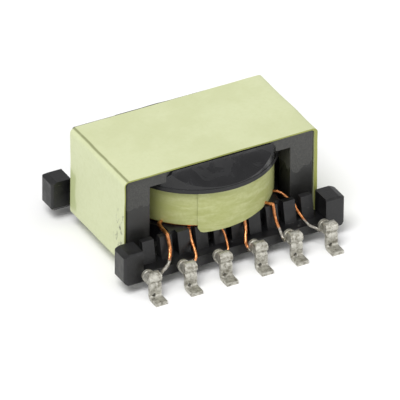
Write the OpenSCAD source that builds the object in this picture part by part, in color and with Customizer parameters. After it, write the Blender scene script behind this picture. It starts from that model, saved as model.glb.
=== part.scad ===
// Surface-mount power transformer: a round-post ferrite core set taped round a
// moulded coil former with twelve gull-wing terminals.
// Frame: X along the terminal rows, Y across them, Z up. The origin is on the
// seating plane of the feet, under the centre of the core.

/* [Core] */
// Length of each ferrite half
core_l = 10.68; // [9:0.01:14]
// Depth of each ferrite half
core_w = 5.8; // [5:0.01:7.5]
// Height of one ferrite half
core_half_h = 2.45; // [2.1:0.01:3.2]
// Thickness of the back plate
core_plate_t = 0.66; // [0.6:0.01:0.85]
// Diameter of the round centre post
post_d = 4.25; // [3.4:0.01:4.7]
// Air gap ground into the upper centre post
air_gap = 0.1; // [0.02:0.01:0.4]
// Diameter of the round winding window
window_d = 8.7; // [8.6:0.01:8.8]
// Width of the window where it opens to the front and the back
window_w = 7.96; // [7.6:0.01:8.4]
// Rounding of the four long edges under the tape
core_edge_r = 0.2; // [0.05:0.01:0.4]
// Chamfer on the upright corners of the legs
core_corner = 0.1; // [0.02:0.01:0.2]
// How far the core sits off the former's centre, to the left
core_shift = 0.04; // [0:0.01:0.05]
// Height of the core's underside above the board
core_rise = 0.67; // [0.5:0.01:1.2]

/* [Core tape] */
// Thickness of the wrapped tape
core_tape_t = 0.1; // [0.04:0.01:0.14]
// Slack of the tape at the left of the core
core_tape_slack = 0.06; // [0.01:0.01:0.2]
// Slack of the tape at the right of the core
core_tape_loose = 0.13; // [0.01:0.01:0.2]
// How far the tape stands out in front of the core
core_tape_front = 0.05; // [0:0.01:0.1]
// How far the tape falls short at the rear of the core
core_tape_rear = 0.11; // [0:0.01:0.6]
// Angle at which the tape runs off square
core_tape_skew = 0.5; // [0:0.1:1.5]

/* [Coil former] */
// Clearance round the centre post
bore_clear = 0.06; // [0.055:0.005:0.15]
// Wall of the winding tube
tube_wall = 0.38; // [0.25:0.01:0.5]
// Clearance between the flanges' rims and the round window
flange_clear = 0.085; // [0.05:0.005:0.2]
// Thickness of the upper flange
upper_flange_t = 0.23; // [0.15:0.01:0.35]
// Thickness of the lower flange
lower_flange_t = 0.93; // [0.8:0.01:1.1]
// Clearance between the lower flange and the lower back plate
foot_clear = 0.02; // [0.01:0.01:0.1]
// Play between the upper flange and the upper back plate, filled with resin
roof_clear = 0.31; // [0.05:0.01:0.4]
// Width of the webs that join the lower flange to the bars
web_w = 6.3; // [5:0.01:7.7]

/* [Terminal bars] */
// Length of the solid block at each end of a bar
bar_end_l = 1.08; // [0.9:0.01:1.5]
// Depth of each terminal bar
bar_w = 1.15; // [1:0.01:1.4]
// Gap between the core's face and the bar
bar_gap = 0.4; // [0.2:0.01:0.6]
// Height of the bar's underside above the board
bar_rise = 0.47; // [0.3:0.01:0.6]
// Height of the ledge that carries the terminals
ledge_h = 0.63; // [0.5:0.01:0.8]
// Depth of the comb at its top
comb_top_w = 0.3; // [0.2:0.01:0.34]
// Depth of the comb where it meets the ledge
comb_foot_w = 0.56; // [0.4:0.01:0.6]
// Width of a wire slot
slot_w = 0.34; // [0.25:0.01:0.4]
// Length of the shallow chamfer on top of each bar end
bar_end_top = 0.3; // [0.1:0.01:0.4]
// Fall of that chamfer
bar_end_fall = 0.13; // [0.04:0.01:0.2]
// Chamfer at the foot of each bar end
bar_end_foot = 0.28; // [0.05:0.01:0.4]
// Chamfer along the bar's inner lower edge
bar_inner_foot = 0.3; // [0.05:0.01:0.35]
// Chamfer along the bar's outer edges
bar_edge = 0.1; // [0.02:0.01:0.15]
// Rounding of the bars' upright corners
bar_corner_r = 0.14; // [0.05:0.01:0.25]

/* [Terminals] */
// Distance between terminals
pin_pitch = 2; // [1.6:0.05:2.6]
// Width of the terminal strip
pin_w = 0.64; // [0.5:0.01:0.8]
// Width of the stub that carries the soldered joint
stub_w = 0.4; // [0.3:0.01:0.46]
// Thickness of the terminal strip
pin_t = 0.2; // [0.12:0.01:0.25]
// Height of the strip's middle above the bar's underside
pin_rise = 0.47; // [0.4:0.01:0.5]
// Length of strip moulded into the bar
pin_root_l = 0.8; // [0.4:0.01:0.9]
// Distance from the bar to the outer face of the leg
leg_reach = 0.97; // [0.8:0.01:1.3]
// Length of the foot beyond the leg
foot_l = 0.63; // [0.45:0.01:1]
// Inside radius of both bends
bend_r = 0.12; // [0.06:0.01:0.16]
// Diameter of the relief hole above the foot
relief_d = 0.2; // [0.1:0.01:0.25]
// Height of the relief hole above the board
relief_z = 0.31; // [0.3:0.01:0.5]
// Offset of the relief hole from the middle of the strip
relief_x = 0.11; // [0:0.01:0.15]

/* [Winding] */
// Distance from a flange's rim in to the finished winding
wrap_inset = 0.185; // [0.05:0.005:0.4]
// Play between the winding and each flange
coil_clear = 0.02; // [0:0.01:0.08]
// Height of the wrap's lower edge above the lower flange
wrap_lift = 0.12; // [0.02:0.01:0.2]
// Thickness of one turn of winding tape
wrap_t = 0.06; // [0.03:0.01:0.1]
// Angle from the front at which the outer turn ends
wrap_end = -25; // [-26:1:0]
// Arc covered by the outer turn
wrap_arc = 320; // [200:5:340]
// How far the outer turn hangs below the winding at its end
wrap_droop = 0.43; // [0.05:0.01:0.5]
// Arc over which the outer turn climbs back
wrap_climb = 82; // [60:1:90]

/* [Leads and solder] */
// Diameter of the thinnest lead
lead_d_min = 0.12; // [0.08:0.01:0.14]
// Diameter of the thickest lead
lead_d_max = 0.2; // [0.14:0.01:0.22]
// Clearance round a lead where it leaves under the winding tape
lead_clear = 0.04; // [0.03:0.01:0.06]
// Clearance between a lead and the corner of the core's leg
lead_corner = 0.2; // [0.1:0.01:0.4]
// How far a lead beside the web has dropped where it enters its slot
lead_dive = 0.4; // [0.15:0.01:0.5]
// Solder over the corners of the stub
joint_cover = 0.08; // [0.04:0.01:0.12]
// Diameter of the wire turns under the solder
joint_turn_d = 0.13; // [0.08:0.01:0.16]
// Number of wire turns on each terminal
joint_turns = 3; // [1:1:4]
// Radius of the solder bead on the bend
bead_r = 0.29; // [0.2:0.01:0.3]
// How far the bead sinks over the bend
bead_sink = 0.06; // [0.02:0.01:0.1]
// How far the bead stands out beyond the strip's sides
bead_side = 0.03; // [0.02:0.01:0.06]
// Rounding of the bead's two ends
bead_end_r = 0.14; // [0.08:0.01:0.18]

/* [Resin] */
// Least thickness of the resin on the core's face
resin_t = 0.1; // [0.05:0.01:0.2]
// Depth of the resin's square edge on the flange
resin_lip = 0.06; // [0.03:0.01:0.1]
// Radius of the resin's hollow face
resin_r = 2.4; // [1.5:0.1:6]
// Half length of the resin where it leaves the flange
resin_foot_x = 3.4; // [2.5:0.05:3.6]
// Half length of the resin at its top
resin_top_x = 2.8; // [2:0.05:3.2]
// How far the resin runs into the window
resin_creep = 0.5; // [0.2:0.05:1]
// Margin between the resin and the flange's rim
resin_margin = 0.02; // [0.01:0.01:0.1]
// Distance from the core's top to the resin's top
resin_drop = 0.05; // [0.02:0.01:0.3]

/* [Hidden] */
$fn = 72;
eps = 0.01;
over = 1;

core_face = core_w / 2;
core_top = core_rise + 2 * core_half_h;
core_split = core_rise + core_half_h;
window_floor = core_rise + core_plate_t;
window_roof = core_top - core_plate_t;

former_foot = window_floor + foot_clear;
former_top = window_roof - roof_clear;
lower_flange_top = former_foot + lower_flange_t;
upper_flange_foot = former_top - upper_flange_t;
flange_d = window_d - 2 * flange_clear;
bore_d = post_d + 2 * bore_clear;
tube_d = bore_d + 2 * tube_wall;

bar_in = core_face + bar_gap;
bar_out = bar_in + bar_w;
bar_top = lower_flange_top;
ledge_top = bar_rise + ledge_h;
pins_per_row = 6;
slot_pitch = pin_pitch / 2;
slot_count = 2 * pins_per_row - 1;
comb_l = slot_pitch * (slot_count - 1) + slot_w;
bar_l = comb_l + 2 * bar_end_l;

pin_z = bar_rise + pin_rise;
leg_out = bar_out + leg_reach;
leg_in = leg_out - pin_t;
toe = leg_out + foot_l;

wrap_r = flange_d / 2 - wrap_inset;
wrap_mid_r = wrap_r - wrap_t;
coil_r = wrap_mid_r - wrap_t;
coil_foot = lower_flange_top + coil_clear;
wrap_foot = lower_flange_top + wrap_lift;
coil_top = upper_flange_foot - coil_clear;

shoulder = leg_in - bend_r;
joint_l = shoulder - bar_out;
joint_r = norm([stub_w, pin_t]) / 2 + joint_cover;
joint_ring_r = joint_r - joint_turn_d / 4;
joint_side = joint_ring_r + joint_turn_d / 2;

// Each row of LEADS: degrees that the lead leaves the winding off the line to its
// place on the comb, that place counted in slots from the middle, side of the
// terminal that it reaches, and thickness from 0, thinnest, to 1, thickest. The
// rear row repeats the front one turned half way round.
LEADS = [
    [-9, -3.45, 1, 1],
    [0, -2.08, 1, 0.6],
    [-3, -0.35, 1, 0],
    [0, 0.85, -1, 0.5],
    [0, 2.55, -1, 0.6],
    [2, 3.92, -1, 0.35]
];
LEAD_SIDES = 10;
LEAD_STEPS = 5;

function row_x(i) = (i - (pins_per_row + 1) / 2) * pin_pitch;
function lead_d(i) = lead_d_min + (lead_d_max - lead_d_min) * LEADS[i - 1][3];
function lead_x(i) = LEADS[i - 1][1] * slot_pitch;
function lead_level(i) = lower_flange_top + lead_d(i) / 2 + 2 * eps;

// Whether lead i runs through a slot, and not over the end of a post
function in_slot(i) =
    let(place = LEADS[i - 1][1]) abs(place - round(place)) * slot_pitch + lead_d(i) / 2 <= slot_w / 2;

// Face that lead i runs down: the bar's inner face in a slot, the comb's front elsewhere
function lead_edge(i) = bar_in + (in_slot(i) ? 0 : comb_top_w);

// Angle from the front at which lead i leaves the winding
function lead_angle(i) = LEADS[i - 1][0] + atan2(lead_x(i), lead_edge(i) + lead_d(i) / 2 + 4 * eps);

// Whether lead i leaves the winding beyond that face, so that it hangs straight down
function hangs(i) = coil_r * cos(lead_angle(i)) > lead_edge(i) + lead_d(i) / 2;

// Distance of the comb's sloping front from the centre at a height
function comb_front(z) =
    bar_in + comb_top_w + (comb_foot_w - comb_top_w) * (bar_top - z) / (bar_top - ledge_top);

// ---- small shared shapes ----

// Rectangle with round corners, centred
module round_rect(size, r) {
    square([size.x - 2 * r, size.y], center = true);
    square([size.x, size.y - 2 * r], center = true);
    for (sx = [-1, 1], sy = [-1, 1])
        translate([sx * (size.x / 2 - r), sy * (size.y / 2 - r)]) circle(r);
}

// Extrudes a profile drawn in Y and Z along X, centred
module along_x(length) {
    rotate([90, 0, 90]) linear_extrude(length, center = true) children();
}

// Extrudes a profile drawn in X and Z along Y, centred
module along_y(length) {
    rotate([90, 0, 0]) linear_extrude(length, center = true) children();
}

// Flat ring between two radii
module ring(outer_r, inner_r, height) {
    linear_extrude(height) difference() {
        circle(outer_r);
        circle(inner_r);
    }
}

// Places what belongs to terminal n: the front row is 1 to 6 from the left,
// the rear row is the same row turned half way round
module at_terminal(n) {
    i = n > pins_per_row ? n - pins_per_row : n;
    rotate([0, 0, n > pins_per_row ? 180 : 0]) translate([row_x(i), 0, 0]) children();
}

module in_row(n) {
    rotate([0, 0, n > pins_per_row ? 180 : 0]) children();
}

// ---- core ----

// One ferrite half with its back on z = 0 and its legs up
module core_half(post_h) {
    difference() {
        intersection() {
            along_y(core_w) difference() {
                translate([0, core_half_h]) round_rect([core_l, 2 * core_half_h], core_edge_r);
                translate([0, 1.5 * core_half_h + over]) square([core_l + over, core_half_h + 2 * over], center = true);
            }
            linear_extrude(core_half_h) core_plan();
        }
        translate([0, 0, core_plate_t]) linear_extrude(core_half_h) difference() {
            union() {
                circle(d = window_d);
                square([window_w, core_w + over], center = true);
            }
            circle(d = post_d);
        }
        translate([0, 0, post_h]) cylinder(d = post_d + eps, h = core_half_h);
    }
}

// Plan of the core with its upright corners broken
module core_plan() {
    x = core_l / 2;
    y = core_w / 2;
    c = core_corner;
    polygon([
        [x - c, -y], [x, c - y], [x, y - c], [x - c, y],
        [c - x, y], [-x, y - c], [-x, c - y], [c - x, -y]
    ]);
}

module lower_core() {
    color([0.22, 0.22, 0.22]) translate([-core_shift, 0, core_rise]) core_half(core_half_h);
}

module upper_core() {
    color([0.25, 0.25, 0.25]) translate([-core_shift, 0, core_top])
        mirror([0, 0, 1]) core_half(core_half_h - air_gap);
}

// Tape wrapped round the two halves, slack at both ends and a little off square
module core_tape() {
    inner = [core_l + core_tape_slack + core_tape_loose, 2 * core_half_h];
    outer = [inner.x + 2 * core_tape_t, inner.y + 2 * core_tape_t];
    middle = (core_tape_loose - core_tape_slack) / 2 - core_shift;
    width = core_w + core_tape_front - core_tape_rear;
    color([0.8, 0.82, 0.63]) intersection() {
        translate([middle, 0, core_split]) along_y(core_w + over) difference() {
            round_rect(outer, core_edge_r + core_tape_t);
            round_rect(inner, core_edge_r);
        }
        translate([0, -(core_tape_front + core_tape_rear) / 2, core_split]) rotate([0, 0, core_tape_skew])
            cube([core_l + over, width, 2 * core_half_h + over], center = true);
    }
}

// ---- coil former ----

module bobbin() {
    color([0.13, 0.13, 0.14]) difference() {
        union() {
            translate([0, 0, former_foot]) cylinder(d = tube_d, h = former_top - former_foot);
            translate([0, 0, upper_flange_foot]) cylinder(d = flange_d, h = upper_flange_t);
            translate([0, 0, former_foot]) linear_extrude(lower_flange_t) lower_flange_plan();
            for (side = [0, 1]) mirror([0, side, 0]) terminal_bar();
        }
        translate([0, 0, former_foot - over]) cylinder(d = bore_d, h = former_top - former_foot + 2 * over);
        for (n = [1 : 2 * pins_per_row]) at_terminal(n)
            translate([-stub_w / 2, -bar_out - over, pin_z - pin_t / 2]) cube([stub_w, pin_root_l + over, pin_t]);
    }
}

// Disc of the lower flange between the bars, with the webs that reach them
module lower_flange_plan() {
    intersection() {
        circle(d = flange_d);
        square([flange_d, 2 * bar_in], center = true);
    }
    square([web_w, 2 * bar_in], center = true);
}

// Bar on the +Y side: blocks at both ends, a comb of wire slots between them
module terminal_bar() {
    difference() {
        intersection() {
            along_x(bar_l) bar_section();
            translate([0, bar_in + bar_w / 2, 0]) along_y(bar_w + over) bar_elevation();
            translate([0, bar_in + bar_w / 2, 0]) linear_extrude(bar_top) round_rect([bar_l, bar_w], bar_corner_r);
        }
        along_x(comb_l) comb_recess();
        for (i = [0 : slot_count - 1])
            translate([(i - (slot_count - 1) / 2) * slot_pitch - slot_w / 2, bar_in, ledge_top])
                cube([slot_w, bar_w + over, bar_top]);
    }
}

// Section across the bar through an end block
module bar_section() {
    polygon([
        [bar_in + bar_inner_foot, bar_rise], [bar_out - bar_edge, bar_rise],
        [bar_out, bar_rise + bar_edge], [bar_out, bar_top - bar_edge],
        [bar_out - bar_edge, bar_top], [bar_in, bar_top], [bar_in, bar_rise + bar_inner_foot]
    ]);
}

// Outline of the bar seen from the front
module bar_elevation() {
    x = bar_l / 2;
    polygon([
        [bar_end_foot - x, bar_rise], [x - bar_end_foot, bar_rise],
        [x, bar_rise + bar_end_foot], [x, bar_top - bar_end_fall], [x - bar_end_top, bar_top],
        [bar_end_top - x, bar_top], [-x, bar_top - bar_end_fall], [-x, bar_rise + bar_end_foot]
    ]);
}

// What is taken from the bar in front of the sloping comb, above the ledge
module comb_recess() {
    polygon([
        [bar_in + comb_foot_w, ledge_top], [bar_out + over, ledge_top],
        [bar_out + over, bar_top + over], [comb_front(bar_top + over), bar_top + over]
    ]);
}

// ---- terminals ----

// Strip with a narrow root and stub, then a wide leg and foot bent from it
module terminal(n) {
    color([0.72, 0.71, 0.67]) at_terminal(n) mirror([0, 1, 0]) terminal_strip();
}

module terminal_strip() {
    difference() {
        union() {
            along_x(stub_w) translate([bar_out - pin_root_l, pin_z - pin_t / 2])
                square([pin_root_l + joint_l + eps, pin_t]);
            along_x(pin_w) leg_profile();
        }
        translate([-relief_x, leg_in - over, relief_z]) rotate([-90, 0, 0])
            cylinder(d = relief_d, h = pin_t + 2 * over);
    }
}

// Side view of a terminal beyond its stub: upper bend, leg, lower bend and foot
module leg_profile() {
    top_bend_z = pin_z - pin_t / 2 - bend_r;
    foot_bend_y = leg_out + bend_r;
    foot_bend_z = pin_t + bend_r;
    translate([shoulder, top_bend_z]) bend();
    translate([leg_in, foot_bend_z]) square([pin_t, top_bend_z - foot_bend_z]);
    translate([foot_bend_y, foot_bend_z]) rotate(180) bend();
    translate([foot_bend_y, 0]) square([toe - foot_bend_y, pin_t]);
}

// Quarter turn of the strip, about the centre of the bend
module bend() {
    intersection() {
        difference() {
            circle(bend_r + pin_t);
            circle(bend_r);
        }
        square(bend_r + pin_t + eps);
    }
}

// ---- winding ----

module coil() {
    color([0.72, 0.45, 0.25]) translate([0, 0, coil_foot]) ring(coil_r, tube_d / 2, coil_top - coil_foot);
}

// Tape round the winding: one full turn, and an outer turn whose end hangs low.
// Its lower edge arches over the leads that leave above the flange.
module coil_tape() {
    lap_r = wrap_mid_r - wrap_t / 2;
    color([0.72, 0.74, 0.5]) difference() {
        union() {
            translate([0, 0, wrap_foot]) ring(wrap_mid_r, coil_r, coil_top - wrap_foot);
            translate([0, 0, wrap_foot]) rotate([0, 0, wrap_end - 90])
                rotate_extrude(angle = wrap_arc) translate([lap_r, 0])
                    square([wrap_r - lap_r, coil_top - wrap_foot]);
            wrap_flap(lap_r);
        }
        for (n = [0, 1], i = [1 : pins_per_row]) if (!hangs(i))
            rotate([0, 0, 180 * n + lead_angle(i)]) translate([0, 0, lead_level(i)])
                rotate([90, 0, 0]) cylinder(r = lead_d(i) / 2 + lead_clear, h = flange_d);
    }
}

// Part of the outer turn that hangs below the winding in front of the comb, cut
// along a slant
module wrap_flap(inner_r) {
    end_x = wrap_r * sin(wrap_end);
    low = wrap_foot - wrap_droop;
    behind = comb_front(low) + eps;
    climb = atan(wrap_droop / (wrap_r * sin(wrap_end + wrap_climb) - end_x));
    difference() {
        translate([0, 0, low]) rotate([0, 0, wrap_end - 90])
            rotate_extrude(angle = wrap_climb) translate([inner_r, 0])
                square([wrap_r - inner_r, wrap_droop + eps]);
        translate([end_x, 0, low]) rotate([0, -climb, 0])
            translate([0, 0, -over]) cube([4 * flange_d, 2 * flange_d, 2 * over], center = true);
        translate([-bar_l / 2, -behind, low - over]) cube([bar_l, 2 * behind, bar_top - low + over + eps]);
    }
}

// ---- solder joints ----

// Solder over the wire turns on the terminal's stub, with a bead on its bend
module solder(n) {
    color([0.68, 0.67, 0.63]) at_terminal(n) mirror([0, 1, 0]) difference() {
        union() {
            translate([0, bar_out, pin_z]) rotate([-90, 0, 0]) cylinder(r = joint_r, h = joint_l);
            for (k = [1 : joint_turns])
                translate([0, bar_out + k * joint_l / (joint_turns + 1), pin_z]) rotate([-90, 0, 0]) joint_turn();
            bead();
        }
        terminal_strip();
    }
}

// Rounded bead of solder across the bend, a little wider than the strip
module bead() {
    z = pin_z + pin_t / 2 - bead_sink + bead_r;
    intersection() {
        along_x(2 * pin_w) translate([leg_out - bead_r, z - pin_t / 2]) circle(bead_r);
        translate([0, leg_out, z - pin_t / 2]) along_y(4 * bead_r)
            round_rect([pin_w + 2 * bead_side, 2 * bead_r], bead_end_r);
    }
}

module joint_turn() {
    rotate_extrude() translate([joint_ring_r, 0]) circle(d = joint_turn_d, $fn = 24);
}

// ---- leads ----

// Route of lead i of the front row, from the winding to the side of its joint
function lead_route(i) =
    let(
        x = lead_x(i),
        side = LEADS[i - 1][2],
        r = lead_d(i) / 2,
        joint_x = row_x(i) + side * (joint_side + r + 2 * eps),
        near_x = side * max(side * joint_x, side * (2 * x + joint_x) / 3),
        mid_y = bar_in + r + (in_slot(i) ? comb_top_w : comb_foot_w + 2 * eps)
    )
    concat(
        hangs(i) ? hanging_start(i, r) : flange_start(i, x, r),
        [
            [x, -mid_y, (ledge_top + bar_top) / 2],
            [near_x, -bar_out - r / 2, ledge_top + r + 2 * eps],
            [(near_x + 2 * joint_x) / 3, -bar_out - r - 0.25 * joint_l, (ledge_top + pin_z) / 2],
            [joint_x, -bar_out - 0.8 * joint_l, pin_z]
        ]
    );

// Point at radius q on the line where lead i leaves the winding
function leaving(i, q, z) = [q * sin(lead_angle(i)), -q * cos(lead_angle(i)), z];

// Straight down from the winding, clear of the face behind
function hanging_start(i, r) =
    let(q = max(coil_r - r - eps, (lead_edge(i) + r + 4 * eps) / cos(lead_angle(i))))
    [leaving(i, q, coil_foot - 3 * eps), leaving(i, q, coil_foot - 2 * r)];

// Out under the tape and over the flange
function flange_start(i, x, r) =
    let(z = lead_level(i), out_r = wrap_r + 2 * r)
    concat(
        [leaving(i, coil_r + 4 * eps, z)],
        in_slot(i) && abs(x) > web_w / 2 + r + lead_clear
            ? beside_web(i, x, r, z)
            : over_edge(i, x, r, z, min(out_r, lead_edge(i) / cos(lead_angle(i))))
    );

// Past the flange's rim and down between the web and the core's leg into a slot
function beside_web(i, x, r, z) =
    let(low = bar_top - lead_dive, leg_x = window_w / 2 - core_shift - r - lead_corner)
    concat(
        [leaving(i, flange_d / 2 + r, z)],
        abs(x) > leg_x ? [[sign(x) * leg_x, -core_face, (z + low) / 2]] : [],
        [[x, -bar_in - r, low]]
    );

// Round the upper edge of the bar or of the comb
function over_edge(i, x, r, z, q) =
    concat(
        [leaving(i, q, z)],
        [for (t = [60, 30, 5])
            [x, -lead_edge(i) - (r + 4 * eps) * cos(t), bar_top + (r + 4 * eps) * sin(t)]]
    );

// Smooth curve through the points of a route, with the heading at each point
// taken from the points beside it
function unit(v) = v / norm(v);
function heading(p, k) = unit(p[min(k + 1, len(p) - 1)] - p[max(k - 1, 0)]);
function curve_point(a, b, u, v, t) =
    a + (a - b) * t * t * (2 * t - 3) + norm(b - a) * t * (1 - t) * ((1 - t) * u - t * v);
function curve(p) =
    let(last = len(p) - 1)
    [for (k = [0 : last - 1], s = [0 : LEAD_STEPS - (k == last - 1 ? 0 : 1)])
        curve_point(p[k], p[k + 1], heading(p, k), heading(p, k + 1), s / LEAD_STEPS)];

// Round tube along a curve; ASIDE is a direction that no lead follows
ASIDE = [1, 0.3, 0.9];
function tube_ring(p, dir, r) =
    let(u = unit(cross(dir, ASIDE)), v = cross(u, dir))
    [for (k = [0 : LEAD_SIDES - 1])
        p + r * (cos(360 * k / LEAD_SIDES) * u + sin(360 * k / LEAD_SIDES) * v)];

module tube(path, r) {
    last = len(path) - 1;
    rings = [for (k = [0 : last]) tube_ring(path[k], heading(path, k), r)];
    points = [for (one = rings, p = one) p];
    walls = [for (k = [0 : last - 1], s = [0 : LEAD_SIDES - 1])
        let(a = k * LEAD_SIDES, t = (s + 1) % LEAD_SIDES)
        [a + s, a + t, a + LEAD_SIDES + t, a + LEAD_SIDES + s]];
    start_cap = [for (s = [LEAD_SIDES - 1 : -1 : 0]) s];
    end_cap = [for (s = [0 : LEAD_SIDES - 1]) last * LEAD_SIDES + s];
    polyhedron(points, concat([start_cap], walls, [end_cap]));
}

module lead(n) {
    i = n > pins_per_row ? n - pins_per_row : n;
    color([0.78, 0.5, 0.3]) in_row(n) tube(curve(lead_route(i)), lead_d(i) / 2);
}

// ---- resin ----

// Resin that fills the gap over the upper flange and climbs the core's face
module resin() {
    rise = core_top - resin_drop - former_top;
    reach = flange_d / 2 - core_face;
    color([0.1, 0.1, 0.11]) intersection() {
        along_x(2 * resin_foot_x) translate([core_face, former_top]) {
            translate([-resin_creep, 0]) square([resin_creep + eps, roof_clear]);
            difference() {
                square([reach, rise]);
                resin_hollow([resin_t, rise], [reach, resin_lip]);
            }
        }
        translate([0, core_face, 0]) along_y(4 * reach) resin_elevation(rise);
        translate([0, 0, former_top]) cylinder(r = flange_d / 2 - resin_margin, h = rise);
    }
}

// Outline of the resin seen from the front
module resin_elevation(rise) {
    z = former_top + rise;
    polygon([
        [-resin_foot_x, former_top], [resin_foot_x, former_top],
        [resin_foot_x, window_roof], [resin_top_x, z], [-resin_top_x, z], [-resin_foot_x, window_roof]
    ]);
}

// Round hollow whose rim passes through two points
module resin_hollow(a, b) {
    away = unit([a.y - b.y, b.x - a.x]);
    translate((a + b) / 2 + away * sqrt(pow(resin_r, 2) - pow(norm(b - a) / 2, 2))) circle(resin_r);
}

module resin_front() {
    mirror([0, 1, 0]) resin();
}

module resin_rear() {
    resin();
}

upper_core();
lower_core();
bobbin();
coil();
coil_tape();
core_tape();
resin_front();
resin_rear();
for (n = [1 : 2 * pins_per_row]) {
    terminal(n);
    solder(n);
    lead(n);
}
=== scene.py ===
import math
import random

import bpy
from mathutils import Matrix, Vector, noise


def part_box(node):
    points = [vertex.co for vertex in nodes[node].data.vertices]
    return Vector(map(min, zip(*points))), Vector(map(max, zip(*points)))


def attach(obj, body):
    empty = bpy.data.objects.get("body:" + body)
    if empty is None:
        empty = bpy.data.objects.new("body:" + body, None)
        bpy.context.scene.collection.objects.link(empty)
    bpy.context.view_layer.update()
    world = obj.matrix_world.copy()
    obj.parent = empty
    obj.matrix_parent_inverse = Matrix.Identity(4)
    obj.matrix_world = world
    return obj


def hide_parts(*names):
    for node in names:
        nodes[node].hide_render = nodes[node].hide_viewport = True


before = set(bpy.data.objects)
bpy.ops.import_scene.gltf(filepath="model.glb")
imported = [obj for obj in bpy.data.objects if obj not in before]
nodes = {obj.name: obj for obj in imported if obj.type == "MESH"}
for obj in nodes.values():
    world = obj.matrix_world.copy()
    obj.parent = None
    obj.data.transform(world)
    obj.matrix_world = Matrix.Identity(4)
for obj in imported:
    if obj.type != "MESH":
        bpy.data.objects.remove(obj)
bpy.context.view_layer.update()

MM = 0.001
random.seed(7)


# ---- node materials ----


def srgb(r, g, b):
    """A colour read as 0-255, as the linear colour that a shader takes."""
    return [((c / 255 + 0.055) / 1.055) ** 2.4 if c > 10 else c / 255 / 12.92 for c in (r, g, b)] + [1]


class Look:
    """A Principled material built from procedural nodes, with object coordinates in millimetres."""

    def __init__(self, name, **shader):
        self.mat = bpy.data.materials.new(name)
        self.mat.use_nodes = True
        self.tree = self.mat.node_tree
        self.tree.nodes.clear()
        self.bsdf = self.tree.nodes.new("ShaderNodeBsdfPrincipled")
        out = self.tree.nodes.new("ShaderNodeOutputMaterial")
        self.tree.links.new(self.bsdf.outputs[0], out.inputs[0])
        self.coord = self.tree.nodes.new("ShaderNodeTexCoord")
        self.mm = self.vec("SCALE", self.coord.outputs["Object"], scale=1000)
        for key, value in shader.items():
            self.set(key.replace("_", " "), value)

    def put(self, socket, value):
        if isinstance(value, bpy.types.NodeSocket):
            self.tree.links.new(value, socket)
        else:
            socket.default_value = value

    def set(self, name, value):
        self.put(self.bsdf.inputs[name], value)

    def node(self, kind, inputs=(), **props):
        n = self.tree.nodes.new(kind)
        for k, v in props.items():
            setattr(n, k, v)
        for k, v in dict(inputs).items():
            self.put(n.inputs[k], v)
        return n

    def vec(self, op, a, b=(0, 0, 0), scale=1.0):
        n = self.node("ShaderNodeVectorMath", operation=op)
        self.put(n.inputs[0], a)
        self.put(n.inputs[1], b)
        self.put(n.inputs["Scale"], scale)
        return n.outputs["Value" if op in ("LENGTH", "DISTANCE", "DOT_PRODUCT") else "Vector"]

    def math(self, op, a, b=0.0, c=0.0, clamp=False):
        n = self.node("ShaderNodeMath", operation=op, use_clamp=clamp)
        for i, v in enumerate((a, b, c)):
            self.put(n.inputs[i], v)
        return n.outputs[0]

    def stretch(self, scale, shift=(0, 0, 0), source=None):
        n = self.node("ShaderNodeMapping", {"Scale": scale, "Location": shift, "Vector": source or self.mm})
        return n.outputs[0]

    def xyz(self, source=None):
        return self.node("ShaderNodeSeparateXYZ", {"Vector": source or self.mm}).outputs

    def noise(self, scale, detail=4.0, rough=0.55, bend=0.0, at=None):
        n = self.node("ShaderNodeTexNoise", {"Vector": at or self.mm, "Scale": scale, "Detail": detail,
                                             "Roughness": rough, "Distortion": bend})
        return n.outputs[0]

    def cells(self, scale, at=None, feature="F1", out="Distance"):
        n = self.node("ShaderNodeTexVoronoi", {"Vector": at or self.mm, "Scale": scale}, feature=feature)
        return n.outputs[out]

    def span(self, value, low, high, to_low=0.0, to_high=1.0, smooth=True):
        n = self.node("ShaderNodeMapRange", {"Value": value, "From Min": low, "From Max": high,
                                             "To Min": to_low, "To Max": to_high},
                      interpolation_type="SMOOTHSTEP" if smooth else "LINEAR")
        return n.outputs[0]

    def mix(self, fac, a, b, blend="MIX"):
        n = self.node("ShaderNodeMix", data_type="RGBA", blend_type=blend, clamp_factor=True)
        self.put(n.inputs[0], fac)
        self.put(n.inputs[6], a)
        self.put(n.inputs[7], b)
        return n.outputs[2]

    def ramp(self, fac, *stops):
        n = self.node("ShaderNodeValToRGB", {"Fac": fac})
        e = n.color_ramp.elements
        while len(e) < len(stops):
            e.new(0.5)
        for i, (pos, col) in enumerate(stops):
            e[i].position = pos
            e[i].color = col
        return n.outputs[0]

    def bump(self, height, depth_mm, strength=1.0, below=None):
        """Height from 0 to 1 over a depth in millimetres."""
        n = self.node("ShaderNodeBump", {"Height": height, "Strength": strength, "Distance": depth_mm * MM})
        if below is not None:
            self.put(n.inputs["Normal"], below)
        return n.outputs[0]

    def facing(self, axis):
        """1 where the surface faces along an axis of the object, either way."""
        n = self.xyz(self.coord.outputs["Normal"])
        return self.math("ABSOLUTE", n["XYZ".index(axis)])


TAPE_EDGE = srgb(150, 155, 80)


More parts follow.
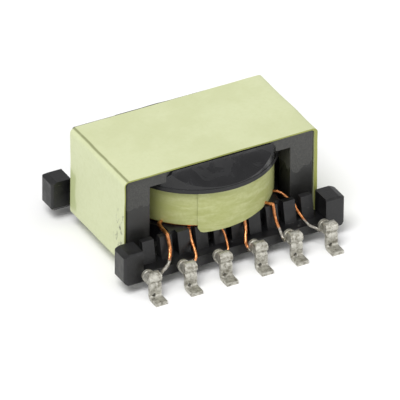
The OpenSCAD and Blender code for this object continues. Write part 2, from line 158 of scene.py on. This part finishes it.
def tape_look():
    """Polyester tape round the core: pale olive, with painted shade along a crease at the upper left
    fold, painted shade where it lies against the former, and scuffs at the lower front corner."""
    m = Look("core_tape", Specular_IOR_Level=0.4)
    x, y, z = m.xyz()
    cloud = m.noise(0.45, 3)
    fine = m.noise(5, 6, 0.65)
    # painted light: the band's sides are a little paler than its top, as light falls on them
    side = m.span(m.math("ABSOLUTE", x), 5.3, 5.5)
    col = m.mix(m.span(cloud, 0.35, 0.65), srgb(196, 201, 158), srgb(202, 207, 166))
    col = m.mix(side, col, srgb(205, 211, 170))
    col = m.mix(m.span(fine, 0.35, 0.8, 0, 0.3), col, srgb(188, 193, 146))
    specks = m.math("MULTIPLY", m.span(m.cells(2.6), 0.015, 0.05, 1, 0), m.span(m.noise(0.7), 0.52, 0.6))
    col = m.mix(m.math("MULTIPLY", specks, 0.8), col, srgb(118, 120, 92))
    # painted shade along the crease at the fold, broken by noise
    wander = m.math("MULTIPLY_ADD", m.noise(0.5, 2), 0.1, -0.05)
    off = m.math("ABSOLUTE", m.math("SUBTRACT", m.math("ADD", x, wander), -5.3))
    line = m.math("MULTIPLY", m.span(off, 0.02, 0.09, 1, 0), m.span(z, 5.45, 5.6))
    line = m.math("MULTIPLY", line, m.span(m.noise(1.6, 4, 0.6, at=m.stretch((0.3, 1, 1))), 0.3, 0.5, 0.45, 1))
    col = m.mix(m.math("MULTIPLY", line, 0.75), col, srgb(112, 116, 74))
    # painted shade beside the rear end block on the left, where the black block darkens the tape
    wave = m.math("MULTIPLY_ADD", m.noise(1.4, 3), 0.5, -0.25)
    reach = m.span(m.math("ADD", y, wave), 2.05, 2.3)
    level = m.math("MULTIPLY", m.span(m.math("ADD", z, wave), 0.95, 1.3), m.span(m.math("ADD", z, wave), 3.4, 3.1))
    block_shade = m.math("MULTIPLY", m.math("MULTIPLY", reach, level), m.span(x, -5.4, -5.5))
    col = m.mix(m.math("MULTIPLY", block_shade, 0.8), col, srgb(172, 181, 126))
    # scuffs at the lower front corner of the left side
    low = m.math("MULTIPLY", m.span(y, -1.7, -2.5), m.span(z, 4.0, 3.2))
    scratch = m.span(m.noise(2.6, 5, 0.7, 0.6, m.stretch((1, 1.6, 0.7))), 0.56, 0.64)
    scuff = m.math("MULTIPLY", m.math("MULTIPLY", low, scratch), m.span(x, -5.4, -5.5))
    col = m.mix(m.math("MULTIPLY", scuff, 0.85), col, srgb(70, 70, 56))
    # the cut edges are a deeper olive, the tape's own colour through its thickness; on the front of the adhesive
    # in the gap to the core the same olive is painted shade
    edge = m.span(m.facing("Y"), 0.5, 0.8)
    col = m.mix(edge, col, TAPE_EDGE)
    m.set("Base Color", col)
    m.set("Roughness", m.span(fine, 0.3, 0.7, 0.38, 0.52))
    m.set("Normal", m.bump(fine, 0.006, 0.5, m.bump(m.noise(1.1, 4, 0.5, 0.6), 0.02, 0.5)))
    return m.mat


def winding_tape_look():
    """Thinner tape round the winding, with painted shade on both flanks, where it turns away from the front."""
    m = Look("winding_tape", Specular_IOR_Level=0.4)
    x, y, z = m.xyz()
    streak = m.noise(1.1, 5, 0.6, 0.4, m.stretch((0.7, 0.7, 3)))
    fine = m.noise(7, 5, 0.6)
    col = m.mix(m.span(streak, 0.35, 0.68), srgb(168, 173, 110), srgb(186, 190, 136))
    col = m.mix(m.span(fine, 0.4, 0.75, 0, 0.4), col, srgb(160, 164, 98))
    # painted shade: darker on both flanks of the winding, where the tape turns away from the front
    turn = m.math("ABSOLUTE", m.math("ARCTAN2", x, m.math("MULTIPLY", m.math("ABSOLUTE", y), 1.0)))
    left = m.math("MULTIPLY", m.span(turn, 0.55, 1.05), m.span(streak, 0.3, 0.6, 0.7, 1))
    col = m.mix(m.math("MULTIPLY", left, 0.5), col, srgb(124, 126, 66))
    # painted shadow under the overhang of the upper flange, along the top of the tape
    flange_shadow = m.math("MULTIPLY", m.span(z, 4.25, 4.45), m.span(m.noise(2.0, 4, at=m.stretch((1, 1, 0.3))), 0.4, 0.6))
    col = m.mix(m.math("MULTIPLY", flange_shadow, 0.45), col, srgb(120, 120, 82))
    speck = m.math("MULTIPLY", m.span(m.cells(1.7), 0.02, 0.05, 1, 0), m.span(m.noise(0.9), 0.5, 0.6))
    col = m.mix(m.math("MULTIPLY", speck, 0.8), col, srgb(96, 98, 50))
    m.set("Base Color", col)
    m.set("Roughness", m.span(fine, 0.3, 0.7, 0.34, 0.5))
    m.set("Normal", m.bump(streak, 0.03, 0.5, m.bump(fine, 0.008, 0.5)))
    return m.mat


def ferrite_look():
    """Ground ferrite, with glossy darker places where varnish has run."""
    m = Look("ferrite")
    x, y, z = m.xyz()
    grain = m.noise(14, 5, 0.7)
    wave = m.noise(1.3, 4, 0.55, 0.6)
    speck = m.span(m.cells(4.2), 0.02, 0.07, 1, 0)
    col = m.mix(m.span(grain, 0.3, 0.75), srgb(58, 58, 57), srgb(78, 78, 74))
    # varnish: over the lower part of the left leg, and up to a ragged line on the right one
    top = m.math("ADD", m.math("MULTIPLY_ADD", wave, 1.9, 3.0), m.math("MULTIPLY", m.span(x, -1, 1), -0.35))
    varnish = m.span(m.math("SUBTRACT", z, top), 0.05, -0.05)
    col = m.mix(m.math("MULTIPLY", varnish, 0.85), col, srgb(30, 30, 29))
    col = m.mix(m.math("MULTIPLY", speck, m.span(m.noise(0.9), 0.55, 0.65, 0, 0.7)), col, srgb(120, 120, 112))
    m.set("Base Color", col)
    m.set("Roughness", m.span(varnish, 0, 1, 0.62, 0.28))
    m.set("Normal", m.bump(grain, 0.012, 0.6, m.bump(varnish, 0.02, 0.7)))
    return m.mat


def plastic_look():
    """Black phenolic under a thin uneven coat of varnish, with dust and a few scratches."""
    m = Look("bobbin_plastic", Specular_IOR_Level=0.5)
    fine = m.noise(9, 6, 0.65)
    cloud = m.noise(1.2, 4)
    col = m.mix(m.span(cloud, 0.35, 0.7), srgb(16, 16, 17), srgb(27, 27, 28))
    dust = m.math("MULTIPLY", m.span(m.cells(5.0), 0.02, 0.07, 1, 0), m.span(m.noise(1.7), 0.52, 0.6))
    col = m.mix(m.math("MULTIPLY", dust, 0.8), col, srgb(120, 118, 112))
    scratch = m.span(m.noise(2.2, 5, 0.65, 1.2, m.stretch((1, 1, 3.5))), 0.66, 0.7)
    col = m.mix(m.math("MULTIPLY", scratch, 0.55), col, srgb(88, 88, 88))
    m.set("Base Color", col)
    m.set("Roughness", m.span(cloud, 0.35, 0.65, 0.28, 0.5))
    m.set("Normal", m.bump(fine, 0.015, 0.5, m.bump(cloud, 0.05, 0.6)))
    return m.mat


def resin_look():
    """Poured epoxy, near black and glossy, with specks and a dull smudge."""
    m = Look("resin", Specular_IOR_Level=0.5)
    wave = m.noise(0.9, 3, 0.5, 0.5)
    smudge = m.span(m.noise(0.8, 5, 0.65, 0.8), 0.55, 0.63)
    col = m.mix(m.span(wave, 0.4, 0.6), srgb(15, 15, 17), srgb(21, 21, 23))
    specks = m.math("MULTIPLY", m.span(m.cells(3.0), 0.02, 0.06, 1, 0), m.span(m.noise(1.3), 0.5, 0.58))
    col = m.mix(m.math("MULTIPLY", specks, 0.6), col, srgb(110, 110, 108))
    m.set("Base Color", col)
    m.set("Roughness", m.span(smudge, 0, 1, 0.24, 0.45))
    m.set("Normal", m.bump(wave, 0.03, 0.5, m.bump(m.noise(6, 4), 0.006, 0.4)))
    return m.mat


def lead_look(tinned_below):
    """Enamelled copper wire, stripped and tinned towards the terminal."""
    m = Look("lead_%d" % round(tinned_below * 100), Metallic=1.0, Coat_Weight=0.4, Coat_Roughness=0.2)
    x, y, z = m.xyz()
    n = m.noise(8, 4)
    ragged = m.math("MULTIPLY_ADD", m.noise(5, 4), 0.3, -0.15)
    bare = m.span(m.math("ADD", z, ragged), tinned_below + 0.06, tinned_below - 0.06)
    copper = m.mix(m.span(n, 0.35, 0.7), srgb(196, 120, 66), srgb(226, 158, 104))
    tinned = m.mix(m.span(n, 0.35, 0.7), srgb(150, 144, 132), srgb(202, 198, 190))
    m.set("Base Color", m.mix(bare, copper, tinned))
    m.set("Roughness", m.span(n, 0.3, 0.7, 0.28, 0.44))
    m.set("Normal", m.bump(m.noise(20, 3), 0.004, 0.4, m.bump(m.noise(6, 4), 0.02, 0.5)))
    return m.mat


def tin_look(name, dark, light):
    """Hot-dipped tin: mottled, dull in the hollows, with a few dark pits."""
    m = Look(name, Metallic=0.75, Specular_IOR_Level=0.5)
    mottle = m.noise(4.5, 6, 0.7, 0.3)
    fine = m.noise(18, 4, 0.6)
    col = m.mix(m.span(mottle, 0.32, 0.6), dark, light)
    col = m.mix(m.span(fine, 0.5, 0.8, 0, 0.5), col, srgb(150, 146, 132))
    pits = m.math("MULTIPLY", m.span(m.cells(3.4), 0.05, 0.12, 1, 0), m.span(m.noise(2.2), 0.52, 0.6))
    col = m.mix(m.math("MULTIPLY", pits, 0.75), col, srgb(70, 68, 62))
    m.set("Base Color", col)
    m.set("Roughness", m.span(mottle, 0.3, 0.7, 0.6, 0.4))
    m.set("Normal", m.bump(mottle, 0.03, 0.5, m.bump(fine, 0.01, 0.5)))
    return m.mat


def coil_look():
    m = Look("coil", Metallic=1.0)
    x, y, z = m.xyz()
    # painted shade: the copper is darker in the grooves between the turns
    turns = m.math("ABSOLUTE", m.math("SINE", m.math("MULTIPLY", z, 26.0)))
    m.set("Base Color", m.mix(turns, srgb(120, 66, 34), srgb(205, 130, 80)))
    m.set("Roughness", m.span(turns, 0, 1, 0.5, 0.32))
    m.set("Normal", m.bump(turns, 0.03, 1.0))
    return m.mat


def floor_look():
    m = Look("floor", Roughness=0.8)
    m.set("Base Color", m.mix(m.span(m.noise(0.02, 3), 0.3, 0.7), (0.9, 0.9, 0.9, 1), (0.92, 0.92, 0.92, 1)))
    return m.mat


tape = tape_look()
winding_tape = winding_tape_look()
ferrite = ferrite_look()
plastic = plastic_look()
resin = resin_look()
tin = tin_look("tin", srgb(128, 124, 112), srgb(196, 194, 184))
solder = tin_look("solder", srgb(126, 121, 108), srgb(200, 198, 188))

TINNED_BELOW = {1: 1.42, 2: 1.12, 3: 1.0, 4: 1.04, 5: 1.4, 6: 1.38}
leads = {i: lead_look(level) for i, level in TINNED_BELOW.items()}

LOOKS = {"upper_core": ferrite, "lower_core": ferrite, "bobbin": plastic, "coil": coil_look(),
         "coil_tape": winding_tape, "core_tape": tape, "resin_front": resin, "resin_rear": resin}


def round_edges(obj, width, angle=30, segments=3):
    """Welds a CAD node's facets and rounds its edges, without changing its own mesh."""
    weld = obj.modifiers.new("weld", "WELD")
    weld.merge_threshold = 1e-6
    flat = obj.modifiers.new("flat", "DECIMATE")
    flat.decimate_type = "DISSOLVE"
    flat.angle_limit = math.radians(1)
    bevel = obj.modifiers.new("round", "BEVEL")
    bevel.width = width * MM
    bevel.segments = segments
    bevel.limit_method = "ANGLE"
    bevel.angle_limit = math.radians(angle)
    bevel.harden_normals = True


for name, obj in nodes.items():
    kind, _, number = name.partition("_")
    look = LOOKS.get(name)
    if look is None:
        look = leads[(int(number) - 1) % 6 + 1] if kind == "lead" else {"terminal": tin, "solder": solder}[kind]
    obj.data.materials.clear()
    obj.data.materials.append(look)


# ---- pieces built over the frame ----


def piece(name, verts, faces, look, slot, *replaced):
    """A mesh piece given in millimetres, shaded smooth, which stands for CAD nodes."""
    mesh = bpy.data.meshes.new(name)
    mesh.from_pydata([[c * MM for c in v] for v in verts], [], faces)
    mesh.validate()
    return settle(bpy.data.objects.new(name, mesh), look, slot, *replaced)


def settle(obj, look, slot, *replaced):
    bpy.context.scene.collection.objects.link(obj)
    obj.data.materials.clear()
    obj.data.materials.append(look)
    obj.data.shade_smooth()
    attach(obj, "root")
    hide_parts(*replaced)
    return obj


def box_mm(name):
    low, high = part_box(name)
    return low / MM, high / MM


def wobble(point, scale, seed=0.0):
    """Smooth noise from about -1 to 1 at a point in millimetres."""
    return noise.noise(Vector(point) * scale + Vector((seed, seed * 1.7, seed * 2.3)))


def grid_faces(rows, cols, closed_rows=False, closed_cols=False, start=0):
    """Quads of a grid whose vertex (i, j) has index start + i * cols + j."""
    faces = []
    for i in range(rows if closed_rows else rows - 1):
        for j in range(cols if closed_cols else cols - 1):
            a, b = i, (i + 1) % rows
            c, d = j, (j + 1) % cols
            faces.append(tuple(start + p * cols + q for p, q in ((a, c), (b, c), (b, d), (a, d))))
    return faces


def modified(obj):
    """The object's mesh with its modifiers applied, as a new mesh."""
    bpy.context.view_layer.update()
    graph = bpy.context.evaluated_depsgraph_get()
    mesh = bpy.data.meshes.new_from_object(obj.evaluated_get(graph))
    return mesh


def softened(name, source, voxel, rounds, amount, scale, look, slot, *replaced, seed=0.0, most=None):
    """A CAD shape made again as one soft skin: rebuilt from small cells, smoothed, and given
    a slight unevenness. Lengths are in millimetres."""
    scratch = bpy.data.objects.new("scratch", source.data.copy() if hasattr(source, "data") else source)
    bpy.context.scene.collection.objects.link(scratch)
    remesh = scratch.modifiers.new("cells", "REMESH")
    remesh.mode = "VOXEL"
    remesh.voxel_size = voxel * MM
    remesh.adaptivity = 0
    smooth = scratch.modifiers.new("smooth", "SMOOTH")
    smooth.factor = 0.5
    smooth.iterations = rounds
    mesh = modified(scratch)
    bpy.data.objects.remove(scratch)
    for v in mesh.vertices:
        p = v.co / MM
        v.co += v.normal * (wobble(p, scale, seed) * amount * MM)
    obj = bpy.data.objects.new(name, mesh)
    if most:
        thin = obj.modifiers.new("thin", "DECIMATE")
        thin.ratio = most
    return settle(obj, look, slot, *replaced)


def rounded_loop(x0, x1, z0, z1, r, along=26, corner=7):
    """A closed loop of (x, z, nx, nz) round a rectangle with round corners."""
    loop = []
    centres = [(x1 - r, z1 - r, 90), (x0 + r, z1 - r, 180), (x0 + r, z0 + r, 270), (x1 - r, z0 + r, 0)]
    turned = [(90, 0), (180, 90), (270, 180), (360, 270)]
    for k, ((cx, cz, _), (end, begin)) in enumerate(zip(centres, turned)):
        for s in range(corner):
            a = math.radians(begin + (end - begin) * s / (corner - 1))
            loop.append((cx + r * math.cos(a), cz + r * math.sin(a), math.cos(a), math.sin(a)))
        ncx, ncz, _ = centres[(k + 1) % 4]
        a = math.radians(end)
        sx, sz = cx + r * math.cos(a), cz + r * math.sin(a)
        ex, ez = ncx + r * math.cos(a), ncz + r * math.sin(a)
        for s in range(1, along):
            t = s / along
            loop.append((sx + (ex - sx) * t, sz + (ez - sz) * t, math.cos(a), math.sin(a)))
    return loop


def make_core_tape():
    """A closed band of tape, a little slack at the ends, wavy at its cut edges. On the right
    its adhesive fills the gap to the core."""
    low, high = box_mm("core_tape")
    core_low, core_high = box_mm("lower_core")
    rows = 44
    skew = math.tan(math.radians(0.5))
    outer = rounded_loop(low.x, high.x, low.z, high.z, 0.3)
    inner = rounded_loop(low.x + 0.1, core_high.x + 0.005, low.z + 0.1, high.z - 0.1, 0.2)
    cols = len(outer)
    verts = []
    for skin, loop in enumerate((outer, inner)):
        for i in range(rows):
            for x, z, nx, nz in loop:
                front = low.y + (x - low.x) * skew
                rear = high.y - (high.x - x) * skew
                front += 0.012 * wobble((x, z, 0), 2.1, 3) - 0.006
                rear += 0.012 * wobble((x, z, 0), 1.7, 8)
                y = front + (rear - front) * i / (rows - 1)
                side = abs(nx)
                swell = 0.035 * side * wobble((0, y, z), 0.55, 5) + 0.012 * wobble((x, y, z), 0.9, 1)
                inset = 0.02 + 0.02 * side if skin == 0 else 0
                push = (swell - inset) if skin == 0 else min(0.0, swell)
                if skin == 0 and nx < 0 < nz:
                    push -= 0.02 * math.exp(-((z - high.z + 0.02) / 0.1) ** 2)
                verts.append((x + nx * push, y, z + nz * push))
    count = rows * cols
    faces = [tuple(reversed(f)) for f in grid_faces(rows, cols, closed_cols=True)]
    faces += grid_faces(rows, cols, closed_cols=True, start=count)
    for row, flip in ((0, False), (rows - 1, True)):
        for j in range(cols):
            k = (j + 1) % cols
            quad = (row * cols + j, row * cols + k, count + row * cols + k, count + row * cols + j)
            faces.append(tuple(reversed(quad)) if flip else quad)
    obj = piece("core_tape_band", verts, faces, tape, "core_tape", "core_tape")
    crisp(obj, 50)
    return obj


def crisp(obj, degrees):
    """Keeps edges sharper than this angle from being shaded smooth."""
    obj.data.set_sharp_from_angle(angle=math.radians(degrees))


def make_winding_tape():
    """Two turns of tape. The outer one ends in a low slanted corner over the comb."""
    low, high = box_mm("coil_tape")
    rim_r = (high.x - low.x) / 2
    top = high.z
    foot = box_mm("coil")[0].z + 0.10
    end = -25.0

    def sag(angle):
        """How far the outer turn hangs down at an angle from the front."""
        along = angle - end
        if along < 0:
            return 0.0
        corner = min(1.0, (along + 1.5) / 4.0)
        return 0.43 * corner * max(0.0, 1 - along / 84.0) ** 0.9

    def skin(name, r_out, start, span, hang, cols):
        rows = 15
        verts = []
        for side, r_base in ((0, r_out), (1, r_out - 0.055)):
            for i in range(rows):
                t = i / (rows - 1)
                for j in range(cols):
                    angle = start + span * j / (cols - 1)
                    a = math.radians(angle)
                    z0 = foot - (sag(angle) if hang else 0)
                    z0 += 0.012 * wobble((angle * 0.07, 0, 0), 2.0, 4)
                    z = z0 + (top - z0) * t
                    p = (math.sin(a) * r_base, -math.cos(a) * r_base, z)
                    push = 0.014 * wobble(p, 1.1, 2) + 0.006 * wobble(p, 4.0, 6) - 0.016
                    ridge = 0.01 * math.exp(-((z - top + 0.25 + 0.1 * wobble(p, 0.5, 9)) / 0.06) ** 2)
                    r = r_base + push + ridge
                    verts.append((math.sin(a) * r, -math.cos(a) * r, z))
        count = rows * cols
        ring = abs(span) >= 360
        if ring:
            pass
        faces = [tuple(reversed(f)) for f in grid_faces(rows, cols)] + grid_faces(rows, cols, start=count)
        for j in range(cols - 1):
            for row, flip in ((0, True), (rows - 1, False)):
                quad = (row * cols + j, row * cols + j + 1, count + row * cols + j + 1, count + row * cols + j)
                faces.append(tuple(reversed(quad)) if flip else quad)
        for i in range(rows - 1):
            for col, flip in ((0, False), (cols - 1, True)):
                quad = (i * cols + col, (i + 1) * cols + col, count + (i + 1) * cols + col, count + i * cols + col)
                faces.append(tuple(reversed(quad)) if flip else quad)
        return verts, faces

    inner_verts, inner_faces = skin("inner", rim_r - 0.055, -180, 359.8, False, 181)
    outer_verts, outer_faces = skin("outer", rim_r + 0.002, end, 320, True, 161)
    shift = len(inner_verts)
    verts = inner_verts + outer_verts
    faces = inner_faces + [tuple(i + shift for i in f) for f in outer_faces]
    obj = piece("winding_tape_turns", verts, faces, winding_tape, "winding_tape", "coil_tape")
    crisp(obj, 50)
    return obj


make_core_tape()
make_winding_tape()


# ---- floor, light and camera ----


def make_floor():
    mesh = bpy.data.meshes.new("floor")
    s = 1.5
    mesh.from_pydata([(-s, -s, 0), (s, -s, 0), (s, s, 0), (-s, s, 0)], [], [(0, 1, 2, 3)])
    floor = bpy.data.objects.new("floor", mesh)
    bpy.context.scene.collection.objects.link(floor)
    mesh.materials.append(floor_look())


def aim(obj, place, target):
    obj.location = place
    obj.rotation_euler = (Vector(target) - Vector(place)).to_track_quat("-Z", "Y").to_euler()


def soft_box(name, place, size, watts, colour=(1, 1, 1)):
    light = bpy.data.lights.new(name, "AREA")
    light.shape = "RECTANGLE"
    light.size, light.size_y = size
    light.energy = watts
    light.color = colour
    obj = bpy.data.objects.new(name, light)
    bpy.context.scene.collection.objects.link(obj)
    aim(obj, place, (0, 0, 0.003))


def make_world(strength):
    world = bpy.data.worlds.new("studio")
    bpy.context.scene.world = world
    world.use_nodes = True
    back = world.node_tree.nodes["Background"]
    back.inputs[0].default_value = (1, 1, 1, 1)
    back.inputs[1].default_value = strength


def make_camera():
    """The photograph's view: a long lens from the front left and above."""
    azimuth, elevation, roll = math.radians(-28.744), math.radians(32.362), math.radians(0.537)
    back = Vector((math.sin(azimuth) * math.cos(elevation), -math.cos(azimuth) * math.cos(elevation), math.sin(elevation)))
    level = Vector((math.cos(azimuth), math.sin(azimuth), 0))
    upright = back.cross(level)
    right = math.cos(roll) * level + math.sin(roll) * upright
    up = math.cos(roll) * upright - math.sin(roll) * level
    data = bpy.data.cameras.new("camera")
    data.sensor_width = 36
    data.lens = 900
    data.clip_start, data.clip_end = 0.01, 10
    camera = bpy.data.objects.new("camera", data)
    bpy.context.scene.collection.objects.link(camera)
    place = back * 0.499163 + right * 0.000328 - up * 0.003661 + Vector((0, 0, 0.00567))
    turn = Matrix((right, up, back)).transposed().to_4x4()
    camera.matrix_world = Matrix.Translation(place) @ turn
    bpy.context.scene.camera = camera


make_floor()
make_world(0.55)
soft_box("key", (-0.25, -0.15, 0.55), (0.35, 0.35), 3.0)
soft_box("fill", (0.3, -0.5, 0.25), (0.4, 0.3), 0.8)
make_camera()
bpy.context.scene.view_settings.view_transform = "Standard"
